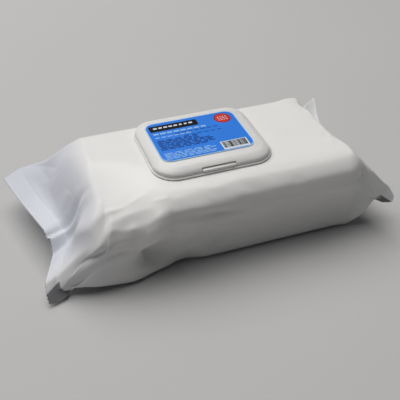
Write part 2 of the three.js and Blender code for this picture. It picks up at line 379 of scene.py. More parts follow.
def slope_rings(start, end, outward, pout, flare, tight):
    """Rings from the end of the block down to the root of a seal, with gussets pulled tight."""
    high = (start[:, 2] / HEIGHT)[:, None]
    leave = start + (pout[1] + (pout[0] - pout[1]) * high) * np.array([outward, 0, 0])
    arrive = end + flare * np.array([-outward, 0, LAST_SLOPE])
    side = np.abs(np.arange(len(start)) - np.array([[0], [HALF_RING], [2 * HALF_RING]])).min(axis=0)
    gusset = rise(GUSSET[1], GUSSET[0], side)[:, None] * tight
    leave += (start + (end - start) / 3 - leave) * gusset
    arrive += (end + (start - end) / 3 - arrive) * gusset
    rings = []
    for s in np.linspace(0, 1, SLOPE_ROWS + 1)[1:]:
        rings.append(
            start * (1 - s) ** 3 + leave * 3 * s * (1 - s) ** 2
            + arrive * 3 * s**2 * (1 - s) + end * s**3
        )
    return rings


def crimped_band(root, cut):
    """Rings from a seal's root to its cut edge, which is cut into fine teeth."""
    across = cut - root
    teeth = (np.arange(len(cut)) % 2)[:, None] * TOOTH
    unit = across / np.linalg.norm(across, axis=1, keepdims=True)
    rings = []
    for s in np.linspace(0, 1, SEAL_ROWS + 1)[1:]:
        path = root + across * s
        if s == 1:
            path = path + unit * teeth
        rings.append(seal_ring(path))
    return rings


def film_grid():
    """Every point of the film, as rings from the left cut edge to the right one."""
    body = [body_ring(x) for x in np.linspace(TURN_LEFT, TURN_RIGHT, BODY_ROWS + 1)]
    left = slope_rings(body[0], seal_ring(left_root), -1, *LEFT_END)
    right = slope_rings(body[-1], seal_ring(right_root), 1, *RIGHT_END)
    return np.array(
        crimped_band(left_root, left_cut)[::-1] + left[::-1] + body
        + right + crimped_band(right_root, right_cut)
    )


grid = film_grid()
print("film grid:", grid.shape[0], "rings of", grid.shape[1])

# %% [markdown]
# ## Slack, bulges and folds
#
# A wrapper is never as tight as its block. Along the front this one hangs over a little, and at
# the left end it has let go: it swells forward, and the front corner of its top droops. Folds
# gather along both seals, where a wide tube is squeezed into a short band.
#
# A cloth simulation could make folds, but it puts them where it likes. Here every fold is drawn
# on the film as if it were unrolled flat, with one axis along the pack and one round it, and
# then pushed in or out of the surface. That is how a crease really sits in a sheet, and it lets
# the large ones be placed one by one and the small ones be scattered by a seeded generator.

# %% Bulges
LEFT_END_RING = SEAL_ROWS  # the ring at the left root
LEFT_TURN_RING = SEAL_ROWS + SLOPE_ROWS
RIGHT_TURN_RING = LEFT_TURN_RING + BODY_ROWS
RIGHT_END_RING = RIGHT_TURN_RING + SLOPE_ROWS
FREE_MARGIN = 8  # rings before the end of the block where the film is already free


def looseness(rows):
    """How free the film is to move: 1 over the wipes, and 0 from the roots of the seals out."""
    ring = np.arange(rows)
    left = rise(LEFT_END_RING, LEFT_TURN_RING - FREE_MARGIN, ring)
    right = rise(RIGHT_END_RING, RIGHT_TURN_RING + FREE_MARGIN, ring)
    return (left * right)[:, None]


# The most that the film moves, in millimetres: the left end swells out, the front hangs over, the
# foot beside the swelling is tucked in, and the left front corner of the top droops.
SWELL, OVERHANG, TUCK, DROOP = 9.0, 8.0, 4.0, 11
BEVEL, BEVEL_FROM = 0.5, -40  # how steeply the top slopes to its front edge, and from which y
CORNER_REACH = 7 * MM  # how much further the front corner reaches at the right end


def past(edge, value, blur):
    """How far a value is below an edge, and 0 above it, with a soft start."""
    return blur * np.logaddexp(0, (edge - value) / blur)


def swell_front(points, loose):
    """Lets the slack film sag at the front, and most at the left end."""
    x, y, z = points[..., 0] / MM, points[..., 1] / MM, points[..., 2] / MM
    front = rise(-22, -46, y)
    out = SWELL * rise(-40, -68, x) * rise(76, 60, z) * rise(-14, 14, z)
    over = OVERHANG * rise(80, 68, z) * rise(22, 62, z) * rise(118, 98, x) * rise(-78, -48, x)
    tuck = TUCK * np.exp(-(((x + 34) / 10) ** 2)) * rise(22, 2, z)
    points[..., 0] += CORNER_REACH * rise(60, 107, x) * rise(-8, -45, y) * loose
    points[..., 1] += (tuck - out - over) * MM * front * loose
    slack = rise(-44, -72, x)
    bevel = (BEVEL - 0.1 * slack) * past(BEVEL_FROM + 2 * slack, y, 2 + slack)
    bevel *= rise(130, 106, x)
    droop = DROOP * rise(-46, -96, x) * rise(12, -54, y)
    points[..., 2] -= (bevel + droop) * MM * rise(20, 66, z) * loose
    return points


loose = looseness(len(grid))
grid = swell_front(grid, loose)
print("front swells to y =", round(grid[..., 1].min() / MM, 1), "mm")

# %% The unrolled sheet
ROUND = 348.0  # millimetres round the film, from the back ear over the top and back
LEFT_SLOPE, RIGHT_SLOPE = 55.0, 36.0  # millimetres of film down each slope
BAND = 11  # millimetres across each crimped band
LEFT_ROOT_V = TURN_LEFT / MM - LEFT_SLOPE
RIGHT_ROOT_V = TURN_RIGHT / MM + RIGHT_SLOPE

ring_u = np.arange(grid.shape[1]) / grid.shape[1] * ROUND
sheet_v = np.concatenate([
    np.linspace(-BAND, 0, SEAL_ROWS, endpoint=False) + TURN_LEFT / MM - LEFT_SLOPE,
    np.linspace(-LEFT_SLOPE, 0, SLOPE_ROWS, endpoint=False) + TURN_LEFT / MM,
    np.linspace(TURN_LEFT, TURN_RIGHT, BODY_ROWS + 1) / MM,
    np.linspace(0, RIGHT_SLOPE, SLOPE_ROWS + 1)[1:] + TURN_RIGHT / MM,
    np.linspace(0, BAND, SEAL_ROWS + 1)[1:] + TURN_RIGHT / MM + RIGHT_SLOPE,
])
U, V = np.meshgrid(ring_u, sheet_v)
print("unrolled sheet:", round(V.min()), "to", round(V.max()), "mm by", ROUND, "mm")

# %% Folds
def fold(u0, v0, u1, v1, width, height, sharp=2.0):
    """The push of one fold at every point: a ridge if height is positive, else a valley."""
    du, dv = u1 - u0, v1 - v0
    length = math.hypot(du, dv)
    along = ((U - u0) * du + (V - v0) * dv) / length
    away = ((U - u0) * dv - (V - v0) * du) / length
    share = (along / length).clip(0, 1)
    ends = np.minimum(share, 1 - share) * 2
    beyond = np.maximum(0, -along) + np.maximum(0, along - length)
    taper = np.sqrt(ends.clip(0, 1)) * np.exp(-((beyond / width) ** 2))
    return height * np.exp(-(np.abs(away / width) ** sharp)) * taper


# Each dent or bulge: its middle round and along the sheet, its reach both ways, and its height.
DENTS = [
    (189, -60, 14, 13, -17.0),
    (166, -88, 12, 20, -3.0),
    (208, -78, 9, 16, 2.0),
    (208, 116, 14, 12, 3.0),
    (36, 98, 8, 8, 1.3),
    (100, -112, 12, 9, 0.8),
]

# Each fold: the two ends of its line on the sheet, its half width, its height, and how sharply it
# stops at its sides, if not as usual.
LARGE_FOLDS = [
    # left end: the seal's middle is pushed in, and the film buckles behind it
    (107, LEFT_ROOT_V - 8, 112, LEFT_ROOT_V + 20, 3.0, -3.0),
    (100, LEFT_ROOT_V - 6, 97, LEFT_ROOT_V + 16, 3.0, 1.0),
    (115, LEFT_ROOT_V - 6, 119, LEFT_ROOT_V + 18, 2.5, 1.6),
    (92, LEFT_ROOT_V + 1, 84, LEFT_ROOT_V + 26, 5.0, 1.6),
    (120, LEFT_ROOT_V - 4, 126, LEFT_ROOT_V + 30, 4.0, 1.2),
    (30, LEFT_ROOT_V + 14, 64, LEFT_ROOT_V + 17, 6.0, -2.8, 1.3),
    (60, LEFT_ROOT_V + 14, 90, LEFT_ROOT_V + 5, 5.0, -2.0, 1.3),
    (20, LEFT_ROOT_V + 8, 56, LEFT_ROOT_V + 28, 4.0, -1.4, 1.3),
    (34, LEFT_ROOT_V + 3, 84, LEFT_ROOT_V + 1, 4.0, 1.4),
    # the ridge from the front corner of the top down to the left ear, and the valley beside it
    (127, -98, 121, LEFT_ROOT_V + 14, 3.0, 1.4, 1.2),
    (126, -94, 114, -146, 8.0, 6.0, 1.5),
    (149, -98, 138, -140, 10.0, -4.5),
    (121, LEFT_ROOT_V + 14, 134, LEFT_ROOT_V - 2, 3.0, 1.4, 1.2),
    # the crease where the top turns down at the left, with two short glints by the lid
    (127, -100, 129, -76, 2.0, 0.9, 1.2),
    (129, -78, 124, -58, 2.0, 0.8, 1.2),
    (123, -61, 124, -50, 1.6, 0.7, 1.2),
    (132, -60, 133, -46, 1.6, 0.7, 1.2),
    # the shoulder's lower edge at the front, which zigzags down to the left ear
    (141, -124, 137, -99, 3.0, 1.6, 1.2),
    (137, -100, 142, -84, 3.0, 1.8, 1.2),
    (142, -86, 145, -68, 3.0, 1.8, 1.2),
    (145, -70, 138, -46, 3.0, 1.4, 1.2),
    (148, -112, 151, -66, 5.0, -2.0, 1.4),
    # the film hangs over under the lid, and streaks run down from there
    (142, -46, 145, 8, 3.0, 1.3, 1.3),
    (150, -40, 155, 16, 5.0, -2.4),
    (162, -44, 169, 8, 4.0, 1.3, 1.3),
    (190, -40, 176, -14, 3.0, -1.8, 1.3),
    (196, -30, 182, -6, 3.0, 1.3, 1.3),
    (204, -18, 184, 4, 3.5, -1.9, 1.3),
    (204, -4, 188, 14, 3.0, 1.3, 1.3),
    (205, 16, 188, 34, 4.0, -0.8),
    # a band under the top front edge, towards the right end
    (151, 28, 155, 112, 4.5, 1.3, 1.3),
    (161, 40, 163, 96, 4.0, -0.6),
    (186, 60, 196, 108, 6.0, -0.6),
    # right end: the corner's gusset, with small puckers
    (152, 103, 143, 111, 1.6, 1.4, 1.3),
    (142, 110, 148, 115, 1.6, -1.6, 1.3),
    (132, 109, 146, 117, 2.4, 1.6, 1.2),
    (152, 114, 174, 138, 3.5, -1.4),
    # the back corner of the top at the right end, and the hollows beside it
    (44, 105, 60, 111, 4.2, -1.5, 1.6),
    (46, 116, 22, 140, 4.0, -2.0, 1.3),
    (30, 108, 16, 134, 3.0, 1.4),
]


def dent(u, v, reach_u, reach_v, height):
    """The push of one round hollow, or of a bulge if height is positive."""
    return height * np.exp(-(((U - u) / reach_u) ** 2) - ((V - v) / reach_v) ** 2)


def gathers(rng, count, root, reach, inward):
    """Small pleats that start at the root of a seal and fade out on the slope."""
    push = np.zeros_like(U)
    for k in range(count):
        u = (k + rng.uniform(0.2, 0.8)) / count * ROUND
        lean = rng.uniform(-7, 7)
        length = rng.uniform(*reach)
        height = rng.uniform(0.35, 0.95) * rng.choice([-1, 1])
        push += fold(u, root, u + lean, root + inward * length, rng.uniform(1.3, 2.8), height)
    return push


def scattered(rng, count, u_span, v_span, turn, length, width, height):
    """Short shallow folds scattered over a stretch of the sheet."""
    push = np.zeros_like(U)
    for _ in range(count):
        u, v = rng.uniform(*u_span), rng.uniform(*v_span)
        angle = math.radians(rng.uniform(*turn))
        half = rng.uniform(*length) / 2
        du, dv = half * math.sin(angle), half * math.cos(angle)
        size = rng.uniform(*height) * rng.choice([-1, 1])
        push += fold(u - du, v - dv, u + du, v + dv, rng.uniform(*width), size, 1.3)
    return push


PLEATS = 38  # at each seal
# Pleats at each seal: where its root lies, their shortest and longest, which way they run, and
# the share of their full height that they have.
GATHERED = (
    (LEFT_ROOT_V, (8, 22), 1, 0.45),
    (RIGHT_ROOT_V, (8, 20), -1, 0.8),
)
# Small folds: how many, the stretches round and along the sheet, and the spans that their angle
# in degrees, length, width and height are drawn from.
SCATTERED = (
    # the front, left and right
    (30, (150, 206), (-98, 20), (15, 75), (14, 40), (2.2, 5), (0.25, 0.7)),
    (24, (150, 206), (10, 104), (10, 60), (20, 50), (3, 7), (0.1, 0.35)),
    # the back
    (30, (4, 32), (-90, 100), (-70, -10), (14, 44), (2.5, 6), (0.15, 0.5)),
    # the top, beside the lid
    (8, (40, 134), (-98, -56), (-40, 40), (16, 40), (4, 8), (0.04, 0.1)),
    (8, (40, 134), (56, 104), (-40, 40), (16, 40), (4, 8), (0.04, 0.1)),
    # the right end of the top, and its front edge
    (16, (48, 132), (99, 112), (50, 130), (6, 18), (1.2, 2.6), (0.2, 0.6)),
    (22, (128, 146), (-96, 60), (-20, 30), (8, 26), (1.2, 2.6), (0.15, 0.4)),
)


def all_folds():
    """How far every point of the film is pushed out of its plain shape, in millimetres."""
    rng = np.random.default_rng(7)
    push = sum(fold(*f) for f in LARGE_FOLDS) + sum(dent(*d) for d in DENTS)
    for root, reach, inward, share in GATHERED:
        push += gathers(rng, PLEATS, root, reach, inward) * share
    for row in SCATTERED:
        push += scattered(rng, *row)
    return push


print("large folds:", len(LARGE_FOLDS), "and dents:", len(DENTS))

# %% Push the folds into the film
TOP_DEPTH = 4 * MM  # how far down the film still counts as the top
BASE_MARGIN = 6 * MM  # how far beside the lid's base the folds come to their full height
LEAST_FOLD = 0.25  # the share of their height that folds keep at the seals
FLOOR_CLEARANCE = 0.6 * MM


def outward_normals(points):
    """The direction out of the film at every point of the grid."""
    around = np.roll(points, -1, axis=1) - np.roll(points, 1, axis=1)
    along = np.gradient(points, axis=0)
    normal = np.cross(around, along)
    length = np.linalg.norm(normal, axis=2, keepdims=True)
    return normal / np.maximum(length, 1e-12)


def folded(points, loose):
    """The film with its folds. It stays flat under the lid's base, and above the floor."""
    normal = outward_normals(points)
    x, y, z = points[..., 0], points[..., 1], points[..., 2]
    wide = (base_high.x - base_low.x) / 2
    deep = (base_high.y - base_low.y) / 2
    beside = np.maximum(abs(x - LID_X) - wide, abs(y - LID_Y) - deep)
    clear = np.where(z > HEIGHT - TOP_DEPTH, rise(0, BASE_MARGIN, beside), 1.0)
    held = np.minimum(1, loose + LEAST_FOLD * (loose > 0))
    points = points + normal * (all_folds() * MM * held * clear)[..., None]
    points[..., 2] = np.maximum(points[..., 2], FLOOR_CLEARANCE)
    return points


grid = folded(grid, loose)
print("the middle of the top faces", outward_normals(grid)[len(grid) // 2, HALF_RING // 2].round(2))
print("lowest point of the film:", round(grid[..., 2].min() / MM, 2), "mm")

# %% Film mesh
HIDDEN_HALF = (40 * MM, 25 * MM)  # half of the stretch that is left out under the lid's base
TOWARDS_FRONT = 1 - np.abs(np.arange(grid.shape[1]) / HALF_RING - 1)  # 0 to 1, back to front ear
# Where the wipes stop lying behind the film: a stretch in rings, counted from each end of the
# block.
LEFT_CHANGE, RIGHT_CHANGE = (-26, 8), (-2, 26)
RIGHT_HOLLOW = 0.25  # how much less the film is backed on the right slope
EAR_FOLDED, EAR_BACKED = (0.66, 0.8), 0.7  # from where the front ears are doubled, and how much
# Where the ears turn under and the film is painted dark as shade: how far round, and how many rings
# in from each root.
LEFT_SHADE_SPAN, RIGHT_SHADE_SPAN = (0.8, 3), (0.9, 4)


def film_faces(rows, count):
    """Faces of the whole tube, with both ends closed along their cut edges."""
    faces = ring_faces(rows, count)
    half = count // 2
    for first, flip in ((0, False), ((rows - 1) * count, True)):
        for i in range(half):
            corners = [i, i + 1, count - i - 1, (count - i) % count]
            corners = [c for k, c in enumerate(corners) if c not in corners[:k]]
            face = [first + c for c in corners]
            faces.append(face[::-1] if flip else face)
    return faces


def build_film(points):
    """The wrapper, with the faces that the lid's base covers left out."""
    rows, count = points.shape[:2]
    flat = points.reshape(-1, 3)
    under_base = (
        (abs(flat[:, 0] - LID_X) < HIDDEN_HALF[0])
        & (abs(flat[:, 1] - LID_Y) < HIDDEN_HALF[1])
        & (flat[:, 2] > HEIGHT / 2)
    )
    faces = [f for f in film_faces(rows, count) if not all(under_base[i] for i in f)]
    return mesh_piece("film_wrap", flat, faces)


def store(piece, name, values):
    """Stores one number for every point of a piece, for its material."""
    layer = piece.data.attributes.new(name, "FLOAT", "POINT")
    layer.data.foreach_set("value", values.astype(np.float32).ravel())


def backing_values():
    """How much of the film lies against the wipes, or against its own folds at the front ears."""
    ring = np.arange(len(grid))
    left = rise(*(LEFT_TURN_RING + c for c in LEFT_CHANGE), ring)
    right = 1 - RIGHT_HOLLOW * rise(*(RIGHT_TURN_RING + c for c in RIGHT_CHANGE), ring)
    return 1 - np.outer(1 - left * right, 1 - EAR_BACKED * rise(*EAR_FOLDED, TOWARDS_FRONT))


def painted_shade_values():
    """Where the front ears of both seals are folded under, and the film is painted dark grey as
    shade.
    """
    ring = np.arange(len(grid))
    left = np.outer(ring < LEFT_END_RING + LEFT_SHADE_SPAN[1], (TOWARDS_FRONT > LEFT_SHADE_SPAN[0]) * 1.0)
    right = np.outer(ring > RIGHT_END_RING - RIGHT_SHADE_SPAN[1], (TOWARDS_FRONT > RIGHT_SHADE_SPAN[0]) * 1.0)
    return left + right


film = build_film(grid)
store(film, "backing", backing_values())
# painted shade: the front ears that are folded under are darkened as if in shade
store(film, "painted_shade", painted_shade_values())
print("film:", len(film.data.polygons), "faces")

# %% [markdown]
# ## The mouth, the back seam and the wipes
#
# Under the lid, a hole with rounded ends is cut in the film. The grid of the film is too coarse
# for a clean cut, so the part that the lid's base hides is replaced with a flat patch that has
# the hole in it. Underneath, the two edges of the sheet meet in a flat seam along the whole
# pack. The wipes are one folded block, and the top one stands up a little in the hole, as the
# next wipe does when the last one has been pulled out through it.

# %% Patch, seam and wipes
def band_between(name, rings):
    """A closed piece whose last ring joins back to its first, such as a wall round a hole."""
    count = len(rings[0])
    faces = ring_faces(len(rings), count)
    last = (len(rings) - 1) * count
    for i in range(count):
        j = (i + 1) % count
        faces.append((last + i, last + j, j, i))
    return turn_outwards(mesh_piece(name, [p for ring in rings for p in ring], faces, False))


def wall(name, outside, inside, low, high):
    """An upright wall between two rounded outlines, each given as width, depth and radius."""
    return band_between(name, [
        rounded_outline(*outside, low), rounded_outline(*outside, high),
        rounded_outline(*inside, high), rounded_outline(*inside, low),
    ])


def joined(first, others):
    """Adds the meshes of other pieces to the first one, without welding them."""
    bpy.context.view_layer.update()
    with bpy.context.temp_override(
        active_object=first, object=first, selected_editable_objects=[first, *others]
    ):
        bpy.ops.object.join()
    return first


def stadium(width, depth):
    """The size of an outline with half-round ends."""
    return width, depth, depth / 2


PATCH = (84 * MM, 54 * MM, 12 * MM)
OPENING = stadium(60 * MM, 28 * MM)
patch = wall("mouth_patch", PATCH, OPENING, HEIGHT - 0.4 * MM, HEIGHT - 0.05 * MM)
SEAM_WIDTH = 10 * MM
SEAM_DEPTHS = (0.45 * MM, 0.15 * MM)  # how far below the film's points the seam's two faces lie
SEAM_COLUMN = HALF_RING + HALF_RING // 2
WIPES_CLEARANCE = 1.6 * MM
# How far the first and last rings of the block are drawn in, which rounds its ends.
WIPES_ENDS = ((0, 0.14), (1, 0.04), (-2, 0.02), (-1, 0.1))
PULLED_HALF = (23, 8)  # half of the stretch of wipe in the mouth, in millimetres


def back_seam():
    """The flat fin that runs along the underside, folded over to one side."""
    rings = []
    for row in grid[SEAL_ROWS + 2:-SEAL_ROWS - 2:2]:
        x, y, z = row[SEAM_COLUMN]
        low, high = (z - depth for depth in SEAM_DEPTHS)
        rings.append([
            (x, y, low), (x, y + SEAM_WIDTH, low), (x, y + SEAM_WIDTH, high), (x, y, high),
        ])
    return loft("back_seam", rings)


def wipe_rings():
    """The block of wipes: the inside of the film over the block, drawn in, with rounded ends."""
    first, last = LEFT_TURN_RING - 12, RIGHT_TURN_RING + 2
    inside = (grid - outward_normals(grid) * WIPES_CLEARANCE)[first:last + 1:4, ::3]
    for row, share in WIPES_ENDS:
        middle = inside[row].mean(axis=0)
        inside[row] += (middle - inside[row]) * share
    return inside


def pulled_wipe():
    """The leading edge of the top wipe, standing up in the mouth as a soft pleat."""
    across, along = 40, 64
    half_x, half_y = PULLED_HALF
    y = np.linspace(-half_y, half_y, across)[:, None] * MM
    x = np.linspace(-half_x, half_x, along)[None, :] * MM
    ridge = 1.6 * MM * np.sin(x / (9 * MM)) + 0.8 * MM
    end = (1 - (np.abs(x) / (half_x * MM)) ** 4).clip(0, 1)
    pleat = 3.6 * np.exp(-(((y - ridge) / (2.4 * MM)) ** 2))
    second = 1.7 * np.exp(-(((y - ridge + 5 * MM) / (1.7 * MM)) ** 2))
    ripple = 0.35 * np.sin(x / (2.7 * MM) + y / (3 * MM))
    edge = (1 - (np.abs(y) / (half_y * MM)) ** 6).clip(0, 1)
    height = (pleat + second + ripple) * end * edge * MM
    base = np.full_like(height, HEIGHT - 1.4 * MM)
    top = np.stack([x + LID_X + 0 * y, y + LID_Y + 0 * x, base + height + 0.25 * MM], axis=2)
    low = top.copy()
    low[..., 2] = base - 0.6 * MM
    sheet = np.concatenate([top, low[:, ::-1]], axis=1)
    return loft("pulled_wipe", [list(map(tuple, row)) for row in sheet])


seam = back_seam()
for piece in (patch, seam):  # both lie against the wipes
    store(piece, "backing", np.ones(len(piece.data.vertices)))
film = joined(film, [patch, seam])
wipes = loft("wipe_block", [list(map(tuple, ring)) for ring in wipe_rings()])
wipes = joined(wipes, [pulled_wipe()])
print("film and seam:", len(film.data.polygons), "faces; wipes:", len(wipes.data.polygons))

# %% [markdown]
# ## Crimp ribs
#
# The jaws of the wrapping machine press fine ribs into each end band, which run along it and
# hold the two layers together. They could be a bump in the material, but a bump fades at a
# grazing angle, just where a crimped ear catches the light. Geometry nodes make them as real
# ribs instead: the lines along the band go in as edges, and each comes out as a thin round bead.

# %% Node group helpers
def new_group(name, kind, inputs, outputs):
    """A node group with named sockets, its input and output nodes, and its inputs' identifiers."""
    group = bpy.data.node_groups.new(name, kind)
    sockets = {}
    for title, value_type, value in inputs:
        made = group.interface.new_socket(
            title, in_out="INPUT", socket_type="NodeSocket" + value_type
        )
        if value is not None:
            made.default_value = value
        sockets[title] = made.identifier
    for title, value_type in outputs:
        group.interface.new_socket(title, in_out="OUTPUT", socket_type="NodeSocket" + value_type)
    return group, group.nodes.new("NodeGroupInput"), group.nodes.new("NodeGroupOutput"), sockets


def link_all(tree, links):
    """Makes links, each given as a node and its output, then a node and its input."""
    for source, out, target, into in links:
        tree.links.new(source.outputs[out], target.inputs[into])


def from_nodes(piece, group, sockets, settings):
    """Runs a node group on a piece and keeps the result as a plain mesh."""
    step = piece.modifiers.new("nodes", "NODES")
    step.node_group = group
    for title, value in settings.items():
        step[sockets[title]] = value
    apply_modifiers(piece)


print("node helpers ready")

# %% Ribs along the seals
RIB_ROWS = (2, 4, 6, 8, 10)
RIB_RADIUS, RIB_SIDES = 0.1 * MM, 6


def rib_nodes():
    """A node group that turns loose edges into beads of a given radius."""
    group, start, end, sockets = new_group("beads along edges", "GeometryNodeTree", (
        ("Geometry", "Geometry", None), ("Radius", "Float", RIB_RADIUS),
        ("Sides", "Int", RIB_SIDES), ("Material", "Material", None),
    ), (("Geometry", "Geometry"),))
    n = group.nodes.new
    curve, circle = n("GeometryNodeMeshToCurve"), n("GeometryNodeCurvePrimitiveCircle")
    sweep, realize = n("GeometryNodeCurveToMesh"), n("GeometryNodeRealizeInstances")
    paint = n("GeometryNodeSetMaterial")
    sweep.inputs["Fill Caps"].default_value = True
    link_all(group, (
        (start, "Geometry", curve, "Mesh"),
        (start, "Radius", circle, "Radius"),
        (start, "Sides", circle, "Resolution"),
        (curve, "Curve", sweep, "Curve"),
        (circle, "Curve", sweep, "Profile Curve"),
        (sweep, "Mesh", realize, "Geometry"),
        (realize, "Geometry", paint, "Geometry"),
        (start, "Material", paint, "Material"),
        (paint, "Geometry", end, "Geometry"),
    ))
    return group, sockets


def seal_edges():
    """The lines that the ribs follow on both faces of both bands, and the painted shade that lies
    on them.
    """
    points, edges, turned = [], [], []
    painted_shade = painted_shade_values()
    for rings in (range(SEAL_ROWS, -1, -1), range(len(grid) - SEAL_ROWS - 1, len(grid))):
        for row in RIB_ROWS:
            ring = rings[row]
            for span in (slice(4, HALF_RING - 3, 2), slice(HALF_RING + 4, -3, 2)):
                first, line = len(points), grid[ring, span]
                points.extend(map(tuple, line))
                edges.extend((first + i, first + i + 1) for i in range(len(line) - 1))
                turned.extend(painted_shade[ring, span])
    return points, edges, np.array(turned)


points, edges, turned = seal_edges()
rib_mesh = bpy.data.meshes.new("crimp_ribs")
rib_mesh.from_pydata(points, edges, [])
ribs = bpy.data.objects.new("crimp_ribs", rib_mesh)
SCENE.collection.objects.link(ribs)
# the ribs on the folded-under ears get the same painted shade
store(ribs, "painted_shade", turned)
print("ribs:", len(RIB_ROWS) * 4, "lines")

# %% [markdown]
# ## The lid and its base
#
# Both are one injection moulding on the real pack, with a thin strip left between them as a
# hinge. The lid is a shallow shell: a short skirt that leans in a little, as a moulding must to
# leave its mould, a wide border that slopes up and rounds over, and a flat panel. It is lofted
# from outlines, as the fixed model is, but with many more rings and finer corners. Then the notch
# is cut, and the edges are softened to a moulding's small radii.

# %% Lid base
FLANGE_TOP = base_low.z + 1.35 * MM
FLANGE_RADIUS = 19 * MM
ROOTED = 0.6 * MM  # how far what stands on the flange goes into it
BASE_WIDTH, BASE_DEPTH = base_high.x - base_low.x, base_high.y - base_low.y
LID_WIDTH, LID_DEPTH = lid_high.x - lid_low.x, lid_high.y - lid_low.y
LID_FRONT, LID_BACK = lid_low.y, lid_high.y
MOUTH = stadium(68 * MM, 38 * MM)
RIM_WALL = 1.5 * MM
NOTCH_WIDTH, NOTCH_DEPTH, NOTCH_HEIGHT = 28 * MM, 4 * MM, 3.6 * MM
BAR_WIDTH, BAR_HEIGHT = 20 * MM, 1.8 * MM  # the latch behind the notch
LAND_WIDTH, LAND_HEIGHT = 62 * MM, 1.2 * MM  # what the hinge's strip hangs on
LEDGE_HEIGHT = 2.6 * MM  # the lip to push against, inside the notch
PANEL = 1.2 * MM  # the thickness of the lid's walls
PLAY = 0.3 * MM  # the gap between moving parts


def centred_block(width, y0, y1, z0, z1):
    """A plain block that is centred on the lid from left to right."""
    x0, x1 = LID_X - width / 2, LID_X + width / 2
    rings = [[(x0, y0, z), (x1, y0, z), (x1, y1, z), (x0, y1, z)] for z in (z0, z1)]
    return loft("block", rings)


def build_base():
    """Flange, rim round the mouth, latch bar, hinge land, and the ledge in the notch."""
    root = FLANGE_TOP - ROOTED
    flange = (BASE_WIDTH, BASE_DEPTH, FLANGE_RADIUS)
    base = wall("lid_base_shell", flange, MOUTH, base_low.z, FLANGE_TOP)
    soften_edges(base, 0.5 * MM, 3)
    rim_outside = stadium(MOUTH[0] + 2 * RIM_WALL, MOUTH[1] + 2 * RIM_WALL)
    rim = wall("rim", rim_outside, MOUTH, root, base_high.z)
    soften_edges(rim, 0.4 * MM, 3)
    bar_front = LID_FRONT + NOTCH_DEPTH + PANEL + PLAY
    bar = centred_block(BAR_WIDTH, bar_front, bar_front + RIM_WALL, root, FLANGE_TOP + BAR_HEIGHT)
    land = centred_block(LAND_WIDTH, LID_BACK + PLAY, base_high.y, root, FLANGE_TOP + LAND_HEIGHT)
    for part in (bar, land):
        soften_edges(part, 0.25 * MM)
    ledge = centred_block(
        NOTCH_WIDTH - 2 * PLAY, LID_FRONT, LID_FRONT + NOTCH_DEPTH - PLAY,
        root, FLANGE_TOP + LEDGE_HEIGHT,
    )
    soften_edges(ledge, 0.5 * MM, 3)
    return joined(base, [rim, bar, land, ledge])


base = build_base()
print("base:", len(base.data.polygons), "faces")

# %% Flip lid
LID_HEIGHT = lid_high.z - lid_low.z
SKIRT = 1.4 * MM
DRAFT = 0.35  # how far the skirt leans in, for each step up
BORDER = 6.6 * MM  # how far the outline draws in between the skirt and the panel
BORDER_ROUNDING = 1.8  # 1 for a straight slope, and more for one that rounds over
BORDER_STEPS = 12


def lid_ring(height, inset):
    """The lid's outline at a height above its lower rim."""
    share = max(0, (height - SKIRT) / (LID_HEIGHT - SKIRT))
    taken = inset + DRAFT * min(max(height, 0), SKIRT) + BORDER * share**BORDER_ROUNDING
    return rounded_outline(
        LID_WIDTH - 2 * taken, LID_DEPTH - 2 * taken, (18 - 7 * share) * MM - inset,
        lid_low.z + height,
    )


def lid_shape(name, inset, drop, foot):
    """A solid in the lid's shape, drawn in by `inset` and lowered by `drop`."""
    steps = range(BORDER_STEPS + 1)
    heights = [foot] + [SKIRT + (LID_HEIGHT - SKIRT) * k / BORDER_STEPS for k in steps]
    rings = [lid_ring(h, inset) for h in heights]
    rings = [[(x, y, z - (drop if k else 0)) for x, y, z in r] for k, r in enumerate(rings)]
    return loft(name, rings)


def notch_block(wall_width):
    """The space the thumb notch takes, widened on all sides for its inner face."""
    return centred_block(
        NOTCH_WIDTH + 2 * wall_width, LID_FRONT - 1 * MM, LID_FRONT + NOTCH_DEPTH + wall_width,
        lid_low.z - 1 * MM, lid_low.z + NOTCH_HEIGHT + wall_width,
    )


def build_lid():
    """The moving shell with its notch, and the bead that closes inside the rim."""
    shell = lid_shape("flip_lid_shell", 0, 0, 0)
    hollow = lid_shape("hollow", PANEL, PANEL, -1 * MM)
    cut_away(hollow, notch_block(PANEL))
    cut_away(shell, notch_block(0))
    cut_away(shell, hollow)
    soften_edges(shell, 0.2 * MM, angle=40)
    bead = wall(
        "bead", stadium(MOUTH[0] - 2 * PLAY, MOUTH[1] - 2 * PLAY),
        stadium(MOUTH[0] - 2 * PLAY - 2 * MM, MOUTH[1] - 2 * PLAY - 2 * MM),
        base_high.z - 0.8 * MM, lid_high.z - 0.6 * MM,
    )
    return joined(shell, [bead])


lid = build_lid()
print("lid:", len(lid.data.polygons), "faces")

# %% [markdown]
# ## The label
#
# The real label carries print. Here it is fields of colour and plain bars in the same places: a
# black strip, rows of dark and pale dashes where the small print stands, a barcode's bars and a
# red disc. Each is a very thin plate on the one below, as ink is. The rows of dashes and the
# bars repeat, so geometry nodes lay them out from a few named sizes and a seed.

# %% Label fields
LABEL_X = (label_low.x + label_high.x) / 2
LABEL_Y = (label_low.y + label_high.y) / 2
INK = 0.03 * MM  # the thickness of each print
EDGE_LOSS = 1.5  # millimetres by which the blue is smaller than its pale sheet


def field(name, width, depth, radius, u, v, level, thick=INK):
    """A flat printed shape. u and v are millimetres from the label's middle."""
    low = label_high.z + level * INK
    centre = (LABEL_X + u * MM, LABEL_Y + v * MM)
    rings = [rounded_outline(width * MM, depth * MM, radius * MM, z, centre, 10)
             for z in (low - thick, low)]
    piece = loft(name, rings)
    piece.data.polygons.foreach_set("use_smooth", [False] * len(piece.data.polygons))
    return piece


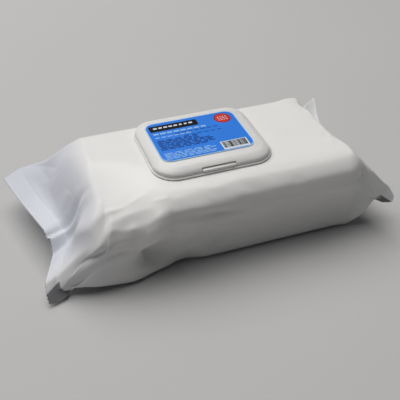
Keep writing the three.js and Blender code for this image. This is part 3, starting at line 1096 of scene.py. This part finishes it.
# Each field: its width, depth and corner radius, its middle, and its level above the sheet.
label_width, label_depth = (label_high.x - label_low.x) / MM, (label_high.y - label_low.y) / MM
label = field("label_sheet", label_width, label_depth, 8, 0, 0, 0, label_high.z - label_low.z)
label_blue = field("label_blue", label_width - EDGE_LOSS, label_depth - EDGE_LOSS, 7.3, 0, 0, 1)
black_strip = field("label_strip", 41.5, 8.6, 1.4, -15.2, 19.4, 2)
disc_rim = field("label_disc_rim", 14.6, 14.6, 7.29, 27.5, 18.0, 2)
disc = field("label_disc", 12.6, 12.6, 6.29, 27.5, 18.0, 3)
barcode_ground = field("label_barcode_ground", 22.4, 11.4, 0.4, 23.4, -20.9, 2)
print("label fields:", round(label_width, 1), "by", round(label_depth, 1), "mm")

# %% Rows of dashes
def dash_nodes():
    """A node group that lays out rows of dashes of uneven length."""
    group, start, end, sockets = new_group("rows of dashes", "GeometryNodeTree", (
        ("Geometry", "Geometry", None), ("Columns", "Int", 8), ("Rows", "Int", 4),
        ("Width", "Float", 40 * MM), ("Depth", "Float", 10 * MM), ("Ink Depth", "Float", 1 * MM),
        ("Shortest", "Float", 0.5), ("Longest", "Float", 1.0), ("Thickness", "Float", INK),
        ("Seed", "Int", 1), ("Material", "Material", None),
    ), (("Geometry", "Geometry"),))
    n = group.nodes.new
    spots, dash = n("GeometryNodeMeshGrid"), n("GeometryNodeMeshCube")
    place, chance = n("GeometryNodeInstanceOnPoints"), n("FunctionNodeRandomValue")
    pitch, longest = n("ShaderNodeMath"), n("ShaderNodeMath")
    size, realize = n("ShaderNodeCombineXYZ"), n("GeometryNodeRealizeInstances")
    paint = n("GeometryNodeSetMaterial")
    pitch.operation, longest.operation = "DIVIDE", "MULTIPLY"
    dash.inputs["Size"].default_value = (1, 1, 1)
    link_all(group, (
        (start, "Columns", spots, "Vertices X"),
        (start, "Rows", spots, "Vertices Y"),
        (start, "Width", spots, "Size X"),
        (start, "Depth", spots, "Size Y"),
        (start, "Width", pitch, 0),
        (start, "Columns", pitch, 1),
        (start, "Shortest", chance, 2),
        (start, "Longest", chance, 3),
        (start, "Seed", chance, "Seed"),
        (pitch, 0, longest, 0),
        (chance, 1, longest, 1),
        (longest, 0, size, "X"),
        (start, "Ink Depth", size, "Y"),
        (start, "Thickness", size, "Z"),
        (spots, "Mesh", place, "Points"),
        (dash, "Mesh", place, "Instance"),
        (size, "Vector", place, "Scale"),
        (place, "Instances", realize, "Geometry"),
        (realize, "Geometry", paint, "Geometry"),
        (start, "Material", paint, "Material"),
        (paint, "Geometry", end, "Geometry"),
    ))
    return group, sockets


dash_group, dash_sockets = dash_nodes()


def dash_rows(name, finish, u0, u1, v0, v1, columns, count, ink, span, seed, level=2):
    """Rows of dashes between u0 and u1, v0 and v1, in millimetres from the label's middle."""
    piece = mesh_piece(name, [(0, 0, 0)], [], False)
    from_nodes(piece, dash_group, dash_sockets, {
        "Columns": columns, "Rows": count, "Seed": seed, "Material": finish,
        "Width": (u1 - u0) * (1 - 1 / columns) * MM, "Depth": (v1 - v0) * MM,
        "Ink Depth": ink * MM, "Thickness": INK, "Shortest": span[0], "Longest": span[1],
    })
    middle = (LABEL_X + (u0 + u1) / 2 * MM, LABEL_Y + (v0 + v1) / 2 * MM)
    piece.data.transform(Matrix.Translation((*middle, label_high.z + level * INK - INK / 2)))
    return piece


LINE_LEFT, LINE_PITCH = -35.5, 1.85  # where lines of small print start, and how far apart they are


def paragraph(name, finish, ends, top, ink, seed):
    """Lines of dashes below one another, each with its own right end."""
    lines = []
    for k, end in enumerate(ends):
        v, words = top - k * LINE_PITCH, 5 + (3 * k) % 5
        lines.append(dash_rows(
            f"{name}_{k}", finish, LINE_LEFT, end, v, v, words, 1, ink, (0.8, 1.05), seed + k,
        ))
    lines[0].name = name
    return joined(lines[0], lines[1:])


print("the dashes are set by:", sorted(dash_sockets))

# %% [markdown]
# ## Materials
#
# The film is white, thin and glossy. Where it lies on the wipes it looks warm and bright, and
# where there is only air behind it, it looks cooler and darker. Where the front ears are folded
# under, the film is painted dark grey as shade. Two values stored on the film drive that:
# `backing`, and one for the painted shade. Both could be painted by hand as a texture, but
# stored values come from the same rings as the shape, and so they stay with it. The lid lets
# some light in below its surface, as white plastic does. Small unevenness, which all the
# materials share, comes from one node group.

# %% Shared unevenness
def unevenness_group():
    """A node group: slow and fine noise in object space, for colour, gloss and bump."""
    group, start, end, _ = new_group("unevenness", "ShaderNodeTree", (
        ("Slow Scale", "Float", 18), ("Fine Scale", "Float", 400),
    ), (("Slow", "Float"), ("Fine", "Float")))
    place = group.nodes.new("ShaderNodeTexCoord")
    for name in ("Slow", "Fine"):
        clouds = group.nodes.new("ShaderNodeTexNoise")
        clouds.inputs["Detail"].default_value = 3
        link_all(group, (
            (place, "Object", clouds, "Vector"),
            (start, name + " Scale", clouds, "Scale"),
            (clouds, "Fac", end, name),
        ))
    return group


UNEVEN = unevenness_group()
RAMP_STOPS = (0.3, 0.7)  # the noise seldom goes past these
GLOSS_CHANGE = (0.85, 1.15)


def surface(name, colour, roughness, spread, bump, slow=18, fine=400):
    """A material whose colour and gloss vary slowly by a small share, with a fine bump."""
    made = bpy.data.materials.new(name)
    made.use_nodes = True
    tree = made.node_tree
    n = tree.nodes.new
    shader = tree.nodes["Principled BSDF"]
    uneven = n("ShaderNodeGroup")
    uneven.node_tree = UNEVEN
    uneven.inputs["Slow Scale"].default_value = slow
    uneven.inputs["Fine Scale"].default_value = fine
    ramp, gloss, relief = n("ShaderNodeValToRGB"), n("ShaderNodeMapRange"), n("ShaderNodeBump")
    dark = [c * (1 - spread) for c in colour]
    light = [min(1, c * (1 + spread)) for c in colour]
    for stop, at, shade in zip(ramp.color_ramp.elements, RAMP_STOPS, (dark, light)):
        stop.position, stop.color = at, (*shade, 1)
    gloss.inputs["To Min"].default_value = roughness * GLOSS_CHANGE[0]
    gloss.inputs["To Max"].default_value = roughness * GLOSS_CHANGE[1]
    relief.inputs["Strength"].default_value = 1
    relief.inputs["Distance"].default_value = bump
    link_all(tree, (
        (uneven, "Slow", ramp, "Fac"),
        (ramp, "Color", shader, "Base Color"),
        (uneven, "Slow", gloss, "Value"),
        (gloss, "Result", shader, "Roughness"),
        (uneven, "Fine", relief, "Height"),
        (relief, "Normal", shader, "Normal"),
    ))
    return made


print("shared node group:", UNEVEN.name)

# %% Film and wipes
UNBACKED_FILM = (0.64, 0.66, 0.725, 1)
# dark grey painted as shade on the folded-under front ears
PAINTED_SHADE_GREY = (0.2, 0.2, 0.21, 1)


def film_material():
    """Glossy white film, cooler and darker where no wipes lie behind it, and painted dark grey as
    shade where its front ears are folded under.
    """
    made = surface("white film", (0.79, 0.785, 0.775), 0.2, 0.012, 0.012 * MM, 22, 260)
    tree = made.node_tree
    n = tree.nodes.new
    shader = tree.nodes["Principled BSDF"]
    shader.inputs["Specular IOR Level"].default_value = 0.22
    warm = shader.inputs["Base Color"].links[0].from_node
    backing, backed = n("ShaderNodeAttribute"), n("ShaderNodeMix")
    # a stored value mixes in the dark grey painted as shade on the folded-under ears
    painted_shade, turned = n("ShaderNodeAttribute"), n("ShaderNodeMix")
    backing.attribute_name, painted_shade.attribute_name = "backing", "painted_shade"
    backed.data_type = turned.data_type = "RGBA"
    backed.inputs["A"].default_value = UNBACKED_FILM
    turned.inputs["B"].default_value = PAINTED_SHADE_GREY
    link_all(tree, (
        (backing, "Fac", backed, "Factor"),
        (warm, "Color", backed, "B"),
        (painted_shade, "Fac", turned, "Factor"),
        (backed, "Result", turned, "A"),
        (turned, "Result", shader, "Base Color"),
    ))
    return made


def wipe_material():
    """Damp nonwoven cloth with a small embossed pattern."""
    made = surface("nonwoven", (0.86, 0.86, 0.84), 0.7, 0.03, 0.08 * MM, 60, 900)
    tree = made.node_tree
    n = tree.nodes.new
    shader = tree.nodes["Principled BSDF"]
    fine = shader.inputs["Normal"].links[0].from_node
    place, cells, emboss = n("ShaderNodeTexCoord"), n("ShaderNodeTexVoronoi"), n("ShaderNodeBump")
    cells.inputs["Scale"].default_value = 420
    cells.inputs["Randomness"].default_value = 0.15
    emboss.inputs["Distance"].default_value = 0.25 * MM
    link_all(tree, (
        (place, "Object", cells, "Vector"),
        (cells, "Distance", emboss, "Height"),
        (fine, "Normal", emboss, "Normal"),
        (emboss, "Normal", shader, "Normal"),
    ))
    return made


white_film = film_material()
nonwoven = wipe_material()
print("materials:", white_film.name, "and", nonwoven.name)

# %% Lid plastic
lid_plastic = surface("lid plastic", (0.79, 0.785, 0.765), 0.38, 0.012, 0.008 * MM, 25, 700)
lid_shader = lid_plastic.node_tree.nodes["Principled BSDF"]
for title, value in (("Weight", 0.6), ("Radius", (1, 1, 0.9)), ("Scale", 4 * MM)):
    lid_shader.inputs["Subsurface " + title].default_value = value
print("material:", lid_plastic.name)

# %% Label inks
INK_ROUGHNESS, INK_BUMP = 0.22, 0.004 * MM


def print_finish(name, colour, spread, slow=60):
    """A smooth and somewhat glossy printed colour."""
    return surface(name, colour, INK_ROUGHNESS, spread, INK_BUMP, slow)


pale_ink = print_finish("pale edge", (0.42, 0.68, 0.93), 0.03)
blue_ink = print_finish("blue ink", (0.034, 0.215, 0.78), 0.05, 40)
black_ink = print_finish("black ink", (0.006, 0.006, 0.008), 0.2)
navy_ink = print_finish("navy ink", (0.012, 0.055, 0.26), 0.1)
sky_ink = print_finish("sky ink", (0.33, 0.56, 0.86), 0.06)
white_ink = print_finish("white ink", (0.72, 0.76, 0.8), 0.03)
red_ink = print_finish("red ink", (0.62, 0.05, 0.035), 0.06)
dark_red_ink = print_finish("dark red ink", (0.3, 0.02, 0.03), 0.06)

# Each row of dashes: its ink, its left, right, low and high lines, how many dashes and rows, how
# deep a dash is, the shortest and longest share of its place that it fills, a seed and a level.
print_pieces = [
    dash_rows("label_heading", white_ink, -33, 2, 20.0, 20.0, 8, 1, 2.0, (0.5, 0.85), 3, 3),
    dash_rows("label_subheading", sky_ink, -35.5, 11, 11.6, 11.6, 8, 1, 1.9, (0.75, 0.98), 5),
    dash_rows("label_lead", navy_ink, -18, 20, 8.2, 8.2, 7, 1, 1.0, (0.75, 1.0), 7),
    dash_rows("label_lead_pale", sky_ink, -35.5, -4, 6.2, 6.2, 6, 1, 1.2, (0.75, 1.0), 8),
    dash_rows("label_lead_low", navy_ink, -12, 22, 3.2, 3.2, 6, 1, 0.9, (0.7, 1.0), 9),
    paragraph("label_small_print", navy_ink, (1, -1, 0, 8, 11, 10, 11, 4), 1.4, 1.25, 31),
    paragraph("label_pale_print", sky_ink, (5, 8, 3, 7, 6), -17.2, 0.8, 47),
    dash_rows("label_barcode", black_ink, 13.2, 33.4, -20.2, -20.2, 26, 1, 8.6, (0.4, 1.0), 17, 3),
    dash_rows("label_disc_print", white_ink, 23, 32, 15.6, 20.2, 4, 3, 0.9, (0.5, 0.9), 19, 4),
]
flat_prints = (
    (label_blue, blue_ink), (black_strip, black_ink), (disc_rim, dark_red_ink), (disc, red_ink),
    (barcode_ground, white_ink),
)
for piece, finish in ((label, pale_ink), *flat_prints):
    piece.data.materials.append(finish)
print("printed pieces:", len(print_pieces) + len(flat_prints))

# %% Give each piece its body and material, and hide the part of the fixed model that it replaces
rib_tree, rib_sockets = rib_nodes()
from_nodes(ribs, rib_tree, rib_sockets, {
    "Radius": RIB_RADIUS, "Sides": RIB_SIDES, "Material": white_film,
})
ribs.data.polygons.foreach_set("use_smooth", [True] * len(ribs.data.polygons))
for piece, finish in (
    (film, white_film), (wipes, nonwoven), (base, lid_plastic), (lid, lid_plastic),
):
    piece.data.materials.clear()
    piece.data.materials.append(finish)

for piece, body, node, slot in (
    (film, "pack", "film_wrapper", "film"),
    (wipes, "pack", "wipe_stack", "wipes"),
    (base, "pack", "lid_base", "lid_plastic"),
    (lid, "lid", "flip_lid", "lid_plastic"),
    (label, "lid", "lid_label", "label"),
):
    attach(piece, body)
    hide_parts(node)
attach(ribs, "pack")
for piece in (label_blue, black_strip, disc_rim, disc, barcode_ground, *print_pieces):
    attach(piece, "lid")

# %% [markdown]
# ## Floor and light
#
# The top and the lid are evenly bright, and the front is in soft shade, so the only light is a
# large one above and behind the pack. A weak sky and the pale floor fill the shade.

# %% Floor and light
FLOOR = 6  # metres from the middle to each side
corners = [(-FLOOR, -FLOOR, 0), (FLOOR, -FLOOR, 0), (FLOOR, FLOOR, 0), (-FLOOR, FLOOR, 0)]
floor = mesh_piece("floor", corners, [(0, 1, 2, 3)], False)
floor.data.materials.append(surface("pale floor", (0.5, 0.5, 0.5), 0.85, 0.01, 0.02 * MM, 3, 60))


def area_light(name, place, aim, size, power, colour):
    """A rectangular light at a place, turned towards a point."""
    data = bpy.data.lights.new(name, "AREA")
    data.shape = "RECTANGLE"
    data.size, data.size_y = size
    data.energy = power
    data.color = colour
    light = bpy.data.objects.new(name, data)
    light.location = place
    light.rotation_euler = (Vector(aim) - Vector(place)).to_track_quat("-Z", "Y").to_euler()
    SCENE.collection.objects.link(light)
    return light


lamp = area_light(
    "key", place=(-0.45, 0.75, 2.2), aim=(0, 0, 0.05), size=(2.8, 2.4), power=71,
    colour=(1.0, 0.985, 0.965),
)
world = bpy.data.worlds.new("world")
world.use_nodes = True
sky = world.node_tree.nodes["Background"]
sky.inputs["Color"].default_value = (0.92, 0.95, 1.0, 1)
sky.inputs["Strength"].default_value = 0.06
SCENE.world = world
SCENE.view_settings.view_transform = "Standard"
print("lamp:", lamp.data.energy, "W; sky:", round(sky.inputs["Strength"].default_value, 3))
